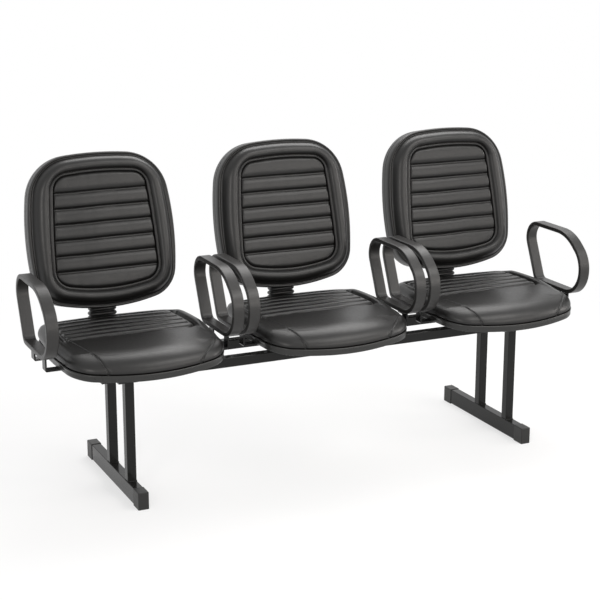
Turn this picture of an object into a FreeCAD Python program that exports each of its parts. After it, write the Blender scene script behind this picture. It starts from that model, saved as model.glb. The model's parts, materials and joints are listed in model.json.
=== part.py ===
import FreeCAD, Part
import math
import os

# Three-place beam seating: two square beams carried by two floor legs, three upholstered
# seats with channelled cushions, each with a sprung back and a pair of loop arms.
# Units are millimetres, X runs along the beams, -Y is the front, Z is up.
# Y is measured here from the middle of the feet and shifted at the end, so that the
# origin lies on the floor under the middle of the whole object.

# Layout
seat_count = 3
leg_outside_seat = 45.0
arm_side_gap = 18.0
arm_pair_gap = 15.0
fit = 0.3
# How far a tool body that only trims reaches past what it trims
past = 20.0

# Feet: a rectangular tube on edge with a wrap-round plastic cap on each end
foot_length = 500.0
foot_tube_width = 30.0
foot_tube_height = 50.0
foot_tube_wall = 1.5
tube_corner = 2.0
cap_wall = 1.5
cap_end = 3.0
cap_length = 46.0
cap_corner = 2.5

# Columns and beams
column_size = 28.0
column_wall = 1.5
beam_size = 30.0
beam_wall = 2.0
beam_spacing = 170.0
beam_middle_y = -50.0
beam_bottom = 366.0
plug_flange = 3.0
plug_depth = 10.0

# Plate on top of each column, bolted up into the beam
head_plate_length = 70.0
head_plate_width = 40.0
head_plate_thickness = 5.0
head_bolt_offset = 24.0
head_bolt_diameter = 8.0
head_bolt_hole = 9.0
head_bolt_length = 16.0
nut_flats = 13.0
nut_height = 6.5
bolt_head_height = 5.3

# Folded channels that carry each seat on the beams
channel_width = 40.0
channel_height = 22.0
channel_thickness = 3.0
channel_spacing = 200.0
channel_overhang = 5.0
channel_clearance = 5.0

# Seat: bent plywood board, edge trim and cushion, all on one plan outline
seat_half_width = 246.0
seat_widest_y = -40.0
seat_front_y = -278.0
seat_rear_y = 195.0
seat_side_radius = 1500.0
seat_front_radius = 570.0
seat_rear_radius = 1400.0
seat_front_corner = 94.0
seat_rear_corner = 80.0
seat_drop_radius = 420.0
seat_board_thickness = 15.0
trim_thickness = 3.0
trim_height = 20.0
cushion_height = 42.0
cushion_edge_radius = 24.0
cushion_nose_radius = 85.0
cushion_inset = 1.0

# Arms: a flat plastic band bent into a closed loop, seen from the side in Y and Z.
# Each corner is a point of the outer outline and the radius that rounds it.
arm_width = 36.0
arm_thickness = 14.0
arm_edge_radius = 3.0
arm_bottom = 455.0
arm_top = 664.0
arm_front = -204.0
arm_outline = [
    (arm_front + 3, arm_bottom, 90.0),
    (arm_front, 589.0, 90.0),
    (-114.0, arm_top, 150.0),
    (155.0, arm_top, 60.0),
    (61.0, arm_bottom, 34.0),
]

# Flat steel brackets that carry each arm, one near the front and one near the rear
bracket_width = 30.0
bracket_thickness = 5.0
bracket_front_y = -100.0
bracket_rear_y = 20.0
bracket_in_arm = 8.0
bracket_screw_from_end = 20.0
bracket_screw_from_edge = 41.0

# Back: reclined, on the same kind of outline, in its own plane.
# Height zero of that plane is the lowest sewn seam of the front panel.
back_recline = 12.0
back_base_y = 160.0
back_base_z = 628.0
back_half_width = 233.0
back_widest = 100.0
back_low = -118.0
back_high = 362.0
back_side_radius = 900.0
back_low_radius = 620.0
back_high_radius = 1000.0
back_low_corner = 100.0
back_high_corner = 142.0
back_cushion_inset = 4.0
back_roll_height = 8.0
back_roll_radius = 26.0
back_cushion_depth = 54.0
back_board_thickness = 12.0
shell_depth = 26.0
shell_wall = 3.0
shell_corner = 9.0
shell_boss_radius = 9.0

# Spring blade from under the seat up to the back, and the bellows over it
blade_width = 70.0
blade_thickness = 6.0
blade_front_y = 70.0
blade_bend_radius = 33.0
blade_lean_radius = 120.0
blade_standoff = 0.2
blade_y = 238.0
blade_above_seam = 118.0
blade_screw_rows = [45.0, 95.0]
blade_screw_offset = 20.0
blade_leg_screws = [90.0, 130.0]
bellows_ridge = (92.0, 38.0)
bellows_neck = (80.0, 28.0)
bellows_wall = 2.0
bellows_pitch = 15.0
bellows_folds = 7
bellows_corner = 10.0
bellows_end = 3.0

# Screws that go up into the boards
screw_diameter = 6.0
screw_hole = 6.6
screw_head_flats = 10.0
screw_head_height = 4.0
screw_bite = 11.0
channel_screw_reach = 50.0

# Levels and places that follow from the sizes above
foot_top = cap_wall + foot_tube_height
beam_top = beam_bottom + beam_size
board_bottom = beam_top + channel_height
trim_top = board_bottom + trim_height
seat_top = trim_top + cushion_height
front_beam_y = beam_middle_y - beam_spacing / 2
rear_beam_y = beam_middle_y + beam_spacing / 2
channel_front_y = front_beam_y - beam_size / 2 - channel_overhang
channel_rear_y = rear_beam_y + beam_size / 2 + channel_overhang
column_top = beam_bottom - head_plate_thickness
arm_inner_face = seat_half_width + arm_side_gap
seat_pitch = 2 * (arm_inner_face + arm_width) + arm_pair_gap
seat_centres = [seat_pitch * (i - (seat_count - 1) / 2) for i in range(seat_count)]
leg_x = seat_centres[-1] + leg_outside_seat
leg_centres = {"left": -leg_x, "right": leg_x}
channel_outer_side = (channel_spacing + channel_width) / 2
beam_half = seat_centres[-1] + channel_outer_side + channel_clearance
bracket_inner_end = channel_outer_side + channel_clearance
bracket_screws = [bracket_inner_end + bracket_screw_from_end,
                  seat_half_width - bracket_screw_from_edge]
recline = math.radians(back_recline)
shell_rear = back_cushion_depth - back_roll_height + shell_depth


def vec(x, y, z):
    return FreeCAD.Vector(x, y, z)


def block(x, y, z):
    """A box from three (low, high) ranges."""
    size = [r[1] - r[0] for r in (x, y, z)]
    return Part.makeBox(size[0], size[1], size[2], vec(x[0], y[0], z[0]))


def around(centre, width):
    return (centre - width / 2, centre + width / 2)


def cylinder(radius, height, base, direction=(0, 0, 1)):
    return Part.makeCylinder(radius, height, vec(*base), vec(*direction))


def hexagon(flats, height, base, direction=(0, 0, 1)):
    """A hexagonal prism, as the head of a bolt or a nut."""
    radius = flats / math.sqrt(3)
    turns = [math.radians(60 * i) for i in range(7)]
    wire = Part.makePolygon([vec(radius * math.cos(t), radius * math.sin(t), 0) for t in turns])
    prism = Part.Face(wire).extrude(vec(0, 0, height))
    prism.Placement = FreeCAD.Placement(
        vec(*base), FreeCAD.Rotation(vec(0, 0, 1), vec(*direction)))
    return prism


def box_tube(x, y, z, wall, along):
    """A rectangular tube with rounded long edges, open at both ends."""
    outer = block(x, y, z)
    long_edges = [e for e in outer.Edges
                  if abs(getattr(e.tangentAt(e.FirstParameter), along)) > 0.9]
    outer = outer.makeFillet(tube_corner, long_edges)
    ranges = {"x": x, "y": y, "z": z}
    for name in ranges:
        if name != along:
            low, high = ranges[name]
            ranges[name] = (low + wall, high - wall)
    return outer.cut(block(ranges["x"], ranges["y"], ranges["z"]))


def bowed_face(half_width, widest, low, high, side_r, low_r, high_r, low_corner, high_corner,
               inset=0.0):
    """A face in the XY plane with four bowed sides and four round corners, all tangent."""
    sides = {
        "low": ((0, low + low_r), low_r - inset),
        "side": ((half_width - side_r, widest), side_r - inset),
        "high": ((0, high - high_r), high_r - inset),
    }

    def corner(first, second, radius, sign):
        """Centre, tangent points and middle of the arc that joins two bowed sides."""
        (ax, ay), ra = sides[first]
        (bx, by), rb = sides[second]
        reach_a = ra - radius
        reach_b = rb - radius
        gap = math.hypot(bx - ax, by - ay)
        along = (reach_a ** 2 - reach_b ** 2 + gap ** 2) / (2 * gap)
        aside = math.sqrt(reach_a ** 2 - along ** 2)
        ux, uy = (bx - ax) / gap, (by - ay) / gap
        centre = vec(ax + ux * along + sign * uy * aside, ay + uy * along - sign * ux * aside, 0)
        on_a = (centre - vec(ax, ay, 0)).normalize() * radius + centre
        on_b = (centre - vec(bx, by, 0)).normalize() * radius + centre
        middle = (on_a + on_b - centre * 2).normalize() * radius + centre
        return on_a, middle, on_b

    low_tip, low_mid, low_side = corner("low", "side", low_corner - inset, -1)
    high_tip, high_mid, high_side = corner("high", "side", high_corner - inset, 1)

    def flip(p):
        return vec(-p.x, p.y, 0)

    arcs = [
        (flip(low_tip), vec(0, low + inset, 0), low_tip),
        (low_tip, low_mid, low_side),
        (low_side, vec(half_width - inset, widest, 0), high_side),
        (high_side, high_mid, high_tip),
        (high_tip, vec(0, high - inset, 0), flip(high_tip)),
        (flip(high_tip), flip(high_mid), flip(high_side)),
        (flip(high_side), vec(inset - half_width, widest, 0), flip(low_side)),
        (flip(low_side), flip(low_mid), flip(low_tip)),
    ]
    return Part.Face(Part.Wire([Part.Arc(*a).toShape() for a in arcs]))


def seat_face(inset):
    return bowed_face(seat_half_width, seat_widest_y, seat_front_y, seat_rear_y,
                      seat_side_radius, seat_front_radius, seat_rear_radius,
                      seat_front_corner, seat_rear_corner, inset)


def back_face(inset):
    return bowed_face(back_half_width, back_widest, back_low, back_high,
                      back_side_radius, back_low_radius, back_high_radius,
                      back_low_corner, back_high_corner, inset)


def rounded_face(corners, inset=0.0):
    """A face in the YZ plane from corner points with their radii, drawn inside by inset."""
    count = len(corners)
    edges = []
    previous_end = None
    first_start = None
    for i in range(count):
        y, z, radius = corners[i]
        before = vec(0, y - corners[i - 1][0], z - corners[i - 1][1]).normalize()
        after = vec(0, corners[(i + 1) % count][0] - y, corners[(i + 1) % count][1] - z)
        after = after.normalize()
        turn = math.acos(before.dot(after))
        side = 1.0 if before.y * after.z - before.z * after.y > 0 else -1.0
        inward_before = vec(0, -before.z, before.y) * side
        inward_after = vec(0, -after.z, after.y) * side
        centre = vec(0, y, z) - before * (radius * math.tan(turn / 2)) + inward_before * radius
        start = centre - inward_before * (radius - inset)
        end = centre - inward_after * (radius - inset)
        middle = centre - (inward_before + inward_after).normalize() * (radius - inset)
        if previous_end is None:
            first_start = start
        else:
            edges.append(Part.LineSegment(previous_end, start).toShape())
        edges.append(Part.Arc(start, middle, end).toShape())
        previous_end = end
    edges.append(Part.LineSegment(previous_end, first_start).toShape())
    return Part.Face(Part.Wire(edges))


def strip(path, width, thickness, centre_x):
    """A flat strip bent along a path of (y, z, radius) corners, its ends square."""
    points = [vec(0, p[0], p[1]) for p in path]
    sides = []
    for offset in (-thickness / 2, thickness / 2):
        run = []
        for i in range(1, len(path)):
            direction = (points[i] - points[i - 1]).normalize()
            normal = vec(0, -direction.z, direction.y)
            run.append((points[i - 1] + normal * offset, direction))
        line = [run[0][0]]
        for i in range(1, len(run)):
            (p, d), (q, e) = run[i - 1], run[i]
            reach = ((q.y - p.y) * e.z - (q.z - p.z) * e.y) / (d.y * e.z - d.z * e.y)
            turn = 1.0 if d.y * e.z - d.z * e.y > 0 else -1.0
            line.append((p + d * reach, path[i][2] - turn * offset))
        last_normal = vec(0, -run[-1][1].z, run[-1][1].y)
        line.append(points[-1] + last_normal * offset)
        sides.append(line)
    edges = []
    ends = []
    for line in sides:
        here = line[0]
        for i in range(1, len(line) - 1):
            corner, radius = line[i]
            before = (corner - here).normalize()
            following = line[i + 1][0] if i + 2 < len(line) else line[i + 1]
            after = (following - corner).normalize()
            turn = math.acos(before.dot(after))
            start = corner - before * (radius * math.tan(turn / 2))
            end = corner + after * (radius * math.tan(turn / 2))
            to_centre = (after - before).normalize()
            middle = corner + to_centre * (radius / math.cos(turn / 2) - radius)
            edges.append(Part.LineSegment(here, start).toShape())
            edges.append(Part.Arc(start, middle, end).toShape())
            here = end
        edges.append(Part.LineSegment(here, line[-1]).toShape())
        ends.append(line[-1])
    edges.append(Part.LineSegment(sides[0][0], sides[1][0]).toShape())
    edges.append(Part.LineSegment(ends[0], ends[1]).toShape())
    face = Part.Face(Part.Wire(Part.__sortEdges__(edges)))
    body = face.extrude(vec(width, 0, 0))
    body.translate(vec(centre_x - width / 2, 0, 0))
    return body


def section(size, level, shrink=0.0):
    """A rounded rectangle outline round the blade at one level."""
    width = size[0] - 2 * shrink
    depth = size[1] - 2 * shrink
    radius = bellows_corner - shrink
    flat = Part.makePlane(width, depth, vec(-width / 2, blade_y - depth / 2, level))
    prism = flat.extrude(vec(0, 0, 1))
    upright = [e for e in prism.Edges if abs(e.tangentAt(e.FirstParameter).z) > 0.9]
    prism = prism.makeFillet(radius, upright)
    return [f for f in prism.Faces if abs(f.CenterOfMass.z - level) < 1e-6][0].OuterWire


def curved_layer(low, high):
    """A layer under the seat between two heights above the board's underside, whose
    front end bends down along the drop of the board."""
    front = seat_front_y - past
    rear = seat_rear_y + past
    fall = channel_front_y - front
    radius = seat_drop_radius
    lines = []
    for height in (low, high):
        z = board_bottom + height
        r = radius + height
        angle = math.asin(fall / r)
        start = vec(0, channel_front_y, z)
        end = vec(0, channel_front_y - r * math.sin(angle), z - r * (1 - math.cos(angle)))
        middle = vec(0, channel_front_y - r * math.sin(angle / 2),
                     z - r * (1 - math.cos(angle / 2)))
        lines.append((vec(0, rear, z), start, middle, end))
    edges = []
    for rear_point, start, middle, end in lines:
        edges.append(Part.LineSegment(rear_point, start).toShape())
        edges.append(Part.Arc(start, middle, end).toShape())
    edges.append(Part.LineSegment(lines[0][0], lines[1][0]).toShape())
    edges.append(Part.LineSegment(lines[0][3], lines[1][3]).toShape())
    face = Part.Face(Part.Wire(Part.__sortEdges__(edges)))
    width = 2 * (seat_half_width + past)
    layer = face.extrude(vec(width, 0, 0))
    layer.translate(vec(-width / 2, 0, 0))
    return layer


def plan_block(face, low, high):
    """A plan outline extruded between two levels."""
    solid = face.extrude(vec(0, 0, high - low))
    solid.translate(vec(0, 0, low))
    return solid


def on_back(shape):
    """Carries a shape from the back's own plane to its reclined place."""
    turn = FreeCAD.Rotation(vec(1, 0, 0), 90 - back_recline)
    place = FreeCAD.Placement(vec(0, back_base_y, back_base_z), turn)
    moved = shape.copy()
    moved.Placement = place.multiply(moved.Placement)
    return moved


def back_point(height, depth):
    """Y and Z of a point on the back's middle plane, at a height and a depth behind it."""
    y = back_base_y + height * math.sin(recline) + depth * math.cos(recline)
    z = back_base_z + height * math.cos(recline) - depth * math.sin(recline)
    return y, z


def screw(diameter, length, flats, head, base, direction=(0, 0, 1)):
    """A hexagon screw, its head under the base point and its shank along direction."""
    d = vec(*direction)
    under = vec(*base) - d * head
    body = hexagon(flats, head, (under.x, under.y, under.z), direction)
    return body.fuse(cylinder(diameter / 2, length, base, direction)).removeSplitter()


def build_leg(x):
    """Foot tube, two columns and two end caps of one leg."""
    tube_x = around(x, foot_tube_width)
    tube_z = (cap_wall, foot_top)
    tube_y = around(0, foot_length - 2 * cap_end)
    pieces = {"foot_tube": box_tube(tube_x, tube_y, tube_z, foot_tube_wall, "y")}
    for name, y in (("front_column", front_beam_y), ("rear_column", rear_beam_y)):
        pieces[name] = box_tube(around(x, column_size), around(y, column_size),
                                (foot_top, column_top), column_wall, "z")
    for name, sign in (("foot_cap_front", -1), ("foot_cap_rear", 1)):
        tip = sign * foot_length / 2
        inner = tip - sign * cap_length
        cap = block((tube_x[0] - cap_wall, tube_x[1] + cap_wall), sorted((tip, inner)),
                    (0, foot_top + cap_wall))
        cap = cap.makeFillet(cap_corner, [e for e in cap.Edges if rounded_cap_edge(e, inner)])
        pieces[name] = cap.cut(block(tube_x, tube_y, tube_z))
    return pieces


def rounded_cap_edge(edge, inner):
    """True for a cap's edges above the floor, apart from the mouth where the tube enters."""
    box = edge.BoundBox
    at_mouth = abs(box.YMin - inner) < 1e-6 and abs(box.YMax - inner) < 1e-6
    return not at_mouth and box.ZMax > 1e-6


def head_places():
    return [(x, y) for x in leg_centres.values() for y in (front_beam_y, rear_beam_y)]


def build_head_plates():
    """A plate on each column with a bolt hole on either side of it."""
    plates = []
    for x, y in head_places():
        plate = block(around(x, head_plate_length), around(y, head_plate_width),
                      (column_top, beam_bottom))
        for side in (-1, 1):
            hole = (x + side * head_bolt_offset, y, column_top - 1)
            plate = plate.cut(cylinder(head_bolt_hole / 2, head_plate_thickness + 2, hole))
        plates.append(plate)
    return Part.makeCompound(plates)


def build_head_bolts():
    """Bolts up through the head plates, each with its nut inside the beam."""
    solids = []
    for x, y in head_places():
        for side in (-1, 1):
            bx = x + side * head_bolt_offset
            solids.append(screw(head_bolt_diameter, head_bolt_length, nut_flats,
                                bolt_head_height, (bx, y, column_top)))
            nut_base = (bx, y, beam_bottom + beam_wall)
            nut = hexagon(nut_flats, nut_height, nut_base)
            solids.append(nut.cut(cylinder(head_bolt_diameter / 2, nut_height, nut_base)))
    return Part.makeCompound(solids)


def build_beam(y):
    """A square beam with holes in its underside for the head bolts."""
    beam = box_tube((-beam_half, beam_half), around(y, beam_size), (beam_bottom, beam_top),
                    beam_wall, "x")
    for x in leg_centres.values():
        for side in (-1, 1):
            hole = (x + side * head_bolt_offset, y, beam_bottom - 1)
            beam = beam.cut(cylinder(head_bolt_hole / 2, beam_wall + 2, hole))
    return beam


def build_plugs():
    """A plastic plug in each beam end, flush with the tube's sides."""
    plugs = []
    for y in (front_beam_y, rear_beam_y):
        for side in (-1, 1):
            face = sorted((side * beam_half, side * (beam_half + plug_flange)))
            stem = sorted((side * beam_half, side * (beam_half - plug_depth)))
            flange = block(face, around(y, beam_size), (beam_bottom, beam_top))
            inside = block(stem, around(y, beam_size - 2 * beam_wall),
                           (beam_bottom + beam_wall, beam_top - beam_wall))
            plugs.append(flange.fuse(inside).removeSplitter())
    return Part.makeCompound(plugs)


def channel_screw_places():
    return [(side * channel_spacing / 2, beam_middle_y + end * channel_screw_reach)
            for side in (-1, 1) for end in (-1, 1)]


def build_channels():
    """Two channels across the beams, open below, with holes for the seat's screws."""
    ends = (channel_front_y, channel_rear_y)
    channels = []
    for side in (-1, 1):
        x = side * channel_spacing / 2
        outer = block(around(x, channel_width), ends, (beam_top, board_bottom))
        inner = block(around(x, channel_width - 2 * channel_thickness), ends,
                      (beam_top, board_bottom - channel_thickness))
        channel = outer.cut(inner)
        for sx, sy in channel_screw_places():
            if sx == x:
                channel = channel.cut(cylinder(screw_hole / 2, channel_thickness + 2,
                                               (sx, sy, board_bottom - channel_thickness - 1)))
        channels.append(channel)
    return Part.makeCompound(channels)


def seat_screw_places():
    """X, Y, the thickness that each screw passes before the board."""
    places = [(x, y, channel_thickness) for x, y in channel_screw_places()]
    for side in (-1, 1):
        for y in (bracket_front_y, bracket_rear_y):
            places += [(side * reach, y, bracket_thickness) for reach in bracket_screws]
    places += [(0.0, y, blade_thickness) for y in blade_leg_screws]
    return places


def build_seat_screws():
    screws = []
    for x, y, grip in seat_screw_places():
        screws.append(screw(screw_diameter, grip + screw_bite, screw_head_flats,
                            screw_head_height, (x, y, board_bottom - grip)))
    return Part.makeCompound(screws)


def build_seat():
    """Board, edge trim and cushion of one seat, round X zero."""
    low = board_bottom - 4 * past
    high = seat_top + past
    board = plan_block(seat_face(trim_thickness), low, high).common(
        curved_layer(0, seat_board_thickness))
    for x, y, _ in seat_screw_places():
        board = board.cut(cylinder(screw_diameter / 2, screw_bite, (x, y, board_bottom)))
    ring = plan_block(seat_face(0), low, high).cut(
        plan_block(seat_face(trim_thickness), low, high))
    trim = ring.common(curved_layer(0, trim_height))
    upper = plan_block(seat_face(cushion_inset), low, seat_top)
    rim = [e for e in upper.Edges if e.BoundBox.ZMin > seat_top - 1]
    upper = upper.makeFillet(cushion_edge_radius, rim)
    upper = upper.common(cushion_profile())
    core = plan_block(seat_face(trim_thickness + fit), low, high).common(
        curved_layer(seat_board_thickness, trim_height + 2 * fit))
    return {"board": board, "trim": trim, "cushion": upper.fuse(core)}


def cushion_profile():
    """Side profile of the cushion above the trim: flat top, round nose at the front."""
    layer = curved_layer(trim_height + fit, trim_height + cushion_height)
    nose_y = seat_front_y + cushion_inset + cushion_nose_radius
    width = 2 * (seat_half_width + past)
    x = (-width / 2, width / 2)
    behind = block(x, (nose_y, seat_rear_y + past), (board_bottom, seat_top + past))
    round_nose = cylinder(cushion_nose_radius, width,
                          (-width / 2, nose_y, seat_top - cushion_nose_radius), (1, 0, 0))
    lift = curved_layer(trim_height + fit, 3 * trim_height + cushion_height)
    return lift.common(behind.fuse(round_nose)).fuse(layer.common(behind))


def build_arm():
    """One loop arm for the side +X, with pockets for its two brackets."""
    band = rounded_face(arm_outline).cut(rounded_face(arm_outline, arm_thickness))
    arm = band.extrude(vec(arm_width, 0, 0))
    arm.translate(vec(arm_inner_face, 0, 0))
    faces_x = (arm_inner_face, arm_inner_face + arm_width)
    rims = [e for e in arm.Edges
            if any(abs(e.BoundBox.XMin - x) < 1e-6 and abs(e.BoundBox.XMax - x) < 1e-6
                   for x in faces_x)]
    arm = arm.makeFillet(arm_edge_radius, rims)
    for y in (bracket_front_y, bracket_rear_y):
        arm = arm.cut(block(around(arm_inner_face + arm_width / 2, bracket_thickness),
                            around(y, bracket_width),
                            (arm_bottom - 1, arm_bottom + bracket_in_arm)))
    return arm


def build_brackets():
    """The two flat bars of one arm on the side +X: level under the seat, then upright."""
    upright = around(arm_inner_face + arm_width / 2, bracket_thickness)
    bars = []
    for y in (bracket_front_y, bracket_rear_y):
        level = block((bracket_inner_end, upright[1]), around(y, bracket_width),
                      (board_bottom - bracket_thickness, board_bottom))
        post = block(upright, around(y, bracket_width),
                     (board_bottom - bracket_thickness, arm_bottom + bracket_in_arm))
        bar = level.fuse(post).removeSplitter()
        outer = [e for e in bar.Edges
                 if abs(e.BoundBox.XMin - upright[1]) < 1e-6 and e.BoundBox.XLength < 1e-6
                 and abs(e.BoundBox.ZMax - (board_bottom - bracket_thickness)) < 1e-6]
        bar = bar.makeFillet(bracket_thickness, outer)
        for reach in bracket_screws:
            bar = bar.cut(cylinder(screw_hole / 2, bracket_thickness + 2,
                                   (reach, y, board_bottom - bracket_thickness - 1)))
        bars.append(bar)
    return Part.makeCompound(bars)


def blade_path():
    """Corners of the blade's middle line: under the seat, upright, then with the back."""
    level = board_bottom - blade_thickness / 2
    depth = shell_rear + blade_standoff + blade_thickness / 2
    rise = (blade_y - back_point(0, depth)[0]) / math.sin(recline)
    lean = back_point(rise, depth)
    tip = back_point(blade_above_seam, depth)
    return [
        (blade_front_y, level, 0),
        (blade_y, level, blade_bend_radius),
        (lean[0], lean[1], blade_lean_radius),
        (tip[0], tip[1], 0),
    ]


def back_screw_places():
    return [(side * blade_screw_offset, row) for row in blade_screw_rows for side in (-1, 1)]


def build_blade():
    blade = strip(blade_path(), blade_width, blade_thickness, 0.0)
    for y in blade_leg_screws:
        blade = blade.cut(cylinder(screw_hole / 2, blade_thickness + 2,
                                   (0, y, board_bottom - blade_thickness - 1)))
    depth = shell_rear + blade_standoff + blade_thickness + 1
    for u, v in back_screw_places():
        blade = blade.cut(on_back(cylinder(screw_hole / 2, blade_thickness + 2, (u, v, -depth))))
    return blade


def build_bellows():
    """A hollow folded boot over the upright of the blade, closed round it at both ends."""
    start = board_bottom - blade_thickness / 2 + blade_bend_radius + 1
    levels = [start + bellows_pitch / 2 * i for i in range(2 * bellows_folds + 1)]
    sizes = [bellows_ridge if i % 2 else bellows_neck for i in range(len(levels))]
    outer = Part.makeLoft([section(s, z) for s, z in zip(sizes, levels)], True, True)
    inner = Part.makeLoft([section(s, z, bellows_wall) for s, z in zip(sizes, levels)],
                          True, True)
    keep = block(around(0, bellows_ridge[0]), around(blade_y, bellows_ridge[1]),
                 (start + bellows_end, levels[-1] - bellows_end))
    slot = block(around(0, blade_width + fit), around(blade_y, blade_thickness + fit),
                 (start - 1, levels[-1] + 1))
    return outer.cut(inner.common(keep)).cut(slot)


def build_back():
    """Cushion, board, shell and screws of one back, round X zero."""
    front = back_roll_height
    rear = front - back_cushion_depth
    cushion = plan_block(back_face(back_cushion_inset), rear + fit, front)
    rim = [e for e in cushion.Edges if e.BoundBox.ZMin > front - 1]
    cushion = cushion.makeFillet(back_roll_radius, rim)
    board = plan_block(back_face(shell_wall), rear - back_board_thickness, rear + fit)
    for u, v in back_screw_places():
        board = board.cut(cylinder(screw_diameter / 2, screw_bite,
                                   (u, v, rear - back_board_thickness)))
    shell = plan_block(back_face(0), -shell_rear, rear)
    rim = [e for e in shell.Edges if e.BoundBox.ZMax < 1 - shell_rear]
    shell = shell.makeFillet(shell_corner, rim)
    shell = shell.cut(plan_block(back_face(shell_wall), shell_wall - shell_rear, rear + 1))
    boss_top = rear - back_board_thickness
    for u, v in back_screw_places():
        shell = shell.fuse(cylinder(shell_boss_radius, boss_top + shell_rear, (u, v, -shell_rear)))
    for u, v in back_screw_places():
        shell = shell.cut(cylinder(screw_hole / 2, shell_rear, (u, v, -shell_rear - 1)))
    grip = blade_standoff + blade_thickness + fit
    length = grip + (boss_top + shell_rear) + screw_bite
    screws = [screw(screw_diameter, length, screw_head_flats, screw_head_height,
                    (u, v, -shell_rear - grip)) for u, v in back_screw_places()]
    pieces = {"back_cushion": cushion, "back_board": board, "back_shell": shell,
              "back_screws": Part.makeCompound(screws)}
    return {name: on_back(shape) for name, shape in pieces.items()}


nodes = {"front_beam": build_beam(front_beam_y), "rear_beam": build_beam(rear_beam_y),
         "beam_end_plugs": build_plugs(), "head_plates": build_head_plates(),
         "head_bolts": build_head_bolts()}
for side_name, centre in leg_centres.items():
    for piece_name, piece in build_leg(centre).items():
        nodes[side_name + "_" + piece_name] = piece

seat = build_seat()
arm = build_arm()
brackets = build_brackets()
place_pieces = {
    "seat_cushion": seat["cushion"],
    "seat_board": seat["board"],
    "seat_trim": seat["trim"],
    "seat_channels": build_channels(),
    "seat_screws": build_seat_screws(),
    "right_arm": arm,
    "left_arm": arm.mirror(vec(0, 0, 0), vec(1, 0, 0)),
    "right_arm_brackets": brackets,
    "left_arm_brackets": brackets.mirror(vec(0, 0, 0), vec(1, 0, 0)),
    "back_blade": build_blade(),
    "back_bellows": build_bellows(),
}
place_pieces.update(build_back())
for number, centre in enumerate(seat_centres, start=1):
    for piece_name, piece in place_pieces.items():
        copy = piece.copy()
        copy.translate(vec(centre, 0, 0))
        nodes["place_" + str(number) + "_" + piece_name] = copy

exact_boxes = [shape.optimalBoundingBox(False, False) for shape in nodes.values()]
front_limit = min(box.YMin for box in exact_boxes)
rear_limit = max(box.YMax for box in exact_boxes)
shift_y = -(front_limit + rear_limit) / 2

os.makedirs("parts", exist_ok=True)
for name, shape in nodes.items():
    shape.translate(vec(0, shift_y, 0))
    shape.exportStep("parts/" + name + ".step")

print("nodes", len(nodes), "shift in Y", round(shift_y, 3))
print("flex axis Y", round(blade_y + shift_y, 3),
      "Z", round(board_bottom - blade_thickness / 2 + blade_bend_radius, 3))
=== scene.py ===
import bpy
import bmesh
import json
import math
import numpy as np
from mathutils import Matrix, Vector
from mathutils.bvhtree import BVHTree


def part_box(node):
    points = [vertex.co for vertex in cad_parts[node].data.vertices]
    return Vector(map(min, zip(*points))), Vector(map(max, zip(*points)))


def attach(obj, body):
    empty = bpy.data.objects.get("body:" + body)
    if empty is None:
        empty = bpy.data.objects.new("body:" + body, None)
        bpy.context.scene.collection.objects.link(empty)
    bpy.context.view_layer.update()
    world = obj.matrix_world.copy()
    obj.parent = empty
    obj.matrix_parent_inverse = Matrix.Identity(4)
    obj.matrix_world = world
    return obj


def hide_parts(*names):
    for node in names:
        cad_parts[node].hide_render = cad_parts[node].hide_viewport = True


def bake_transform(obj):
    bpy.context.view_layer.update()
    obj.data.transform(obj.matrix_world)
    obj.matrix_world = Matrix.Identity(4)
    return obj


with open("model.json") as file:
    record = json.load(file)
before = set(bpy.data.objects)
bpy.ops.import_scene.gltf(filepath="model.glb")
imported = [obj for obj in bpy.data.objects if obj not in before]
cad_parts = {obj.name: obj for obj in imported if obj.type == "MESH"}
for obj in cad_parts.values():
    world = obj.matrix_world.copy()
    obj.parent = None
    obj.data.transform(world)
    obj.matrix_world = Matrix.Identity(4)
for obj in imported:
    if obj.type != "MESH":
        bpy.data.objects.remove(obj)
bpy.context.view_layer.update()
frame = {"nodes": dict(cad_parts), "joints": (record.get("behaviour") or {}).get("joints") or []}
cad = frame["nodes"]
scene = bpy.context.scene
scene.view_settings.view_transform = "Standard"


# Studio: a pale floor that runs out to white, soft lamps overhead, in front and at both
# sides, and an even white surround. The camera stands in front of the seating, to its left.
def node(tree, kind, *places, **named):
    """Adds a shader node. Inputs go by place or by name, small-letter names are settings."""
    made = tree.nodes.new("ShaderNode" + kind)
    for key, value in named.items():
        if key[0].islower():
            setattr(made, key, value)
    inputs = list(enumerate(places))
    inputs += [(key.replace("_", " "), value) for key, value in named.items() if key[0].isupper()]
    for key, value in inputs:
        if isinstance(value, bpy.types.NodeSocket):
            tree.links.new(value, made.inputs[key])
        else:
            made.inputs[key].default_value = value
    return made


def blank_tree(owner):
    owner.use_nodes = True
    owner.node_tree.nodes.clear()
    return owner.node_tree


def seen_directly(tree):
    """One for camera, mirror and see-through rays, zero for rays of soft light."""
    path = node(tree, "LightPath")
    either = node(tree, "Math", path.outputs["Is Camera Ray"], path.outputs["Is Glossy Ray"],
                  operation="MAXIMUM")
    return node(tree, "Math", either.outputs[0], path.outputs["Is Transmission Ray"],
                operation="MAXIMUM").outputs[0]


world = bpy.data.worlds.new("surround")
scene.world = world
tree = blank_tree(world)
level = node(tree, "MapRange", Value=seen_directly(tree), To_Min=0.62, To_Max=1.0)
surround = node(tree, "Background", Color=(1, 1, 1, 1), Strength=level.outputs[0])
node(tree, "OutputWorld", surround.outputs[0])

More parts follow.
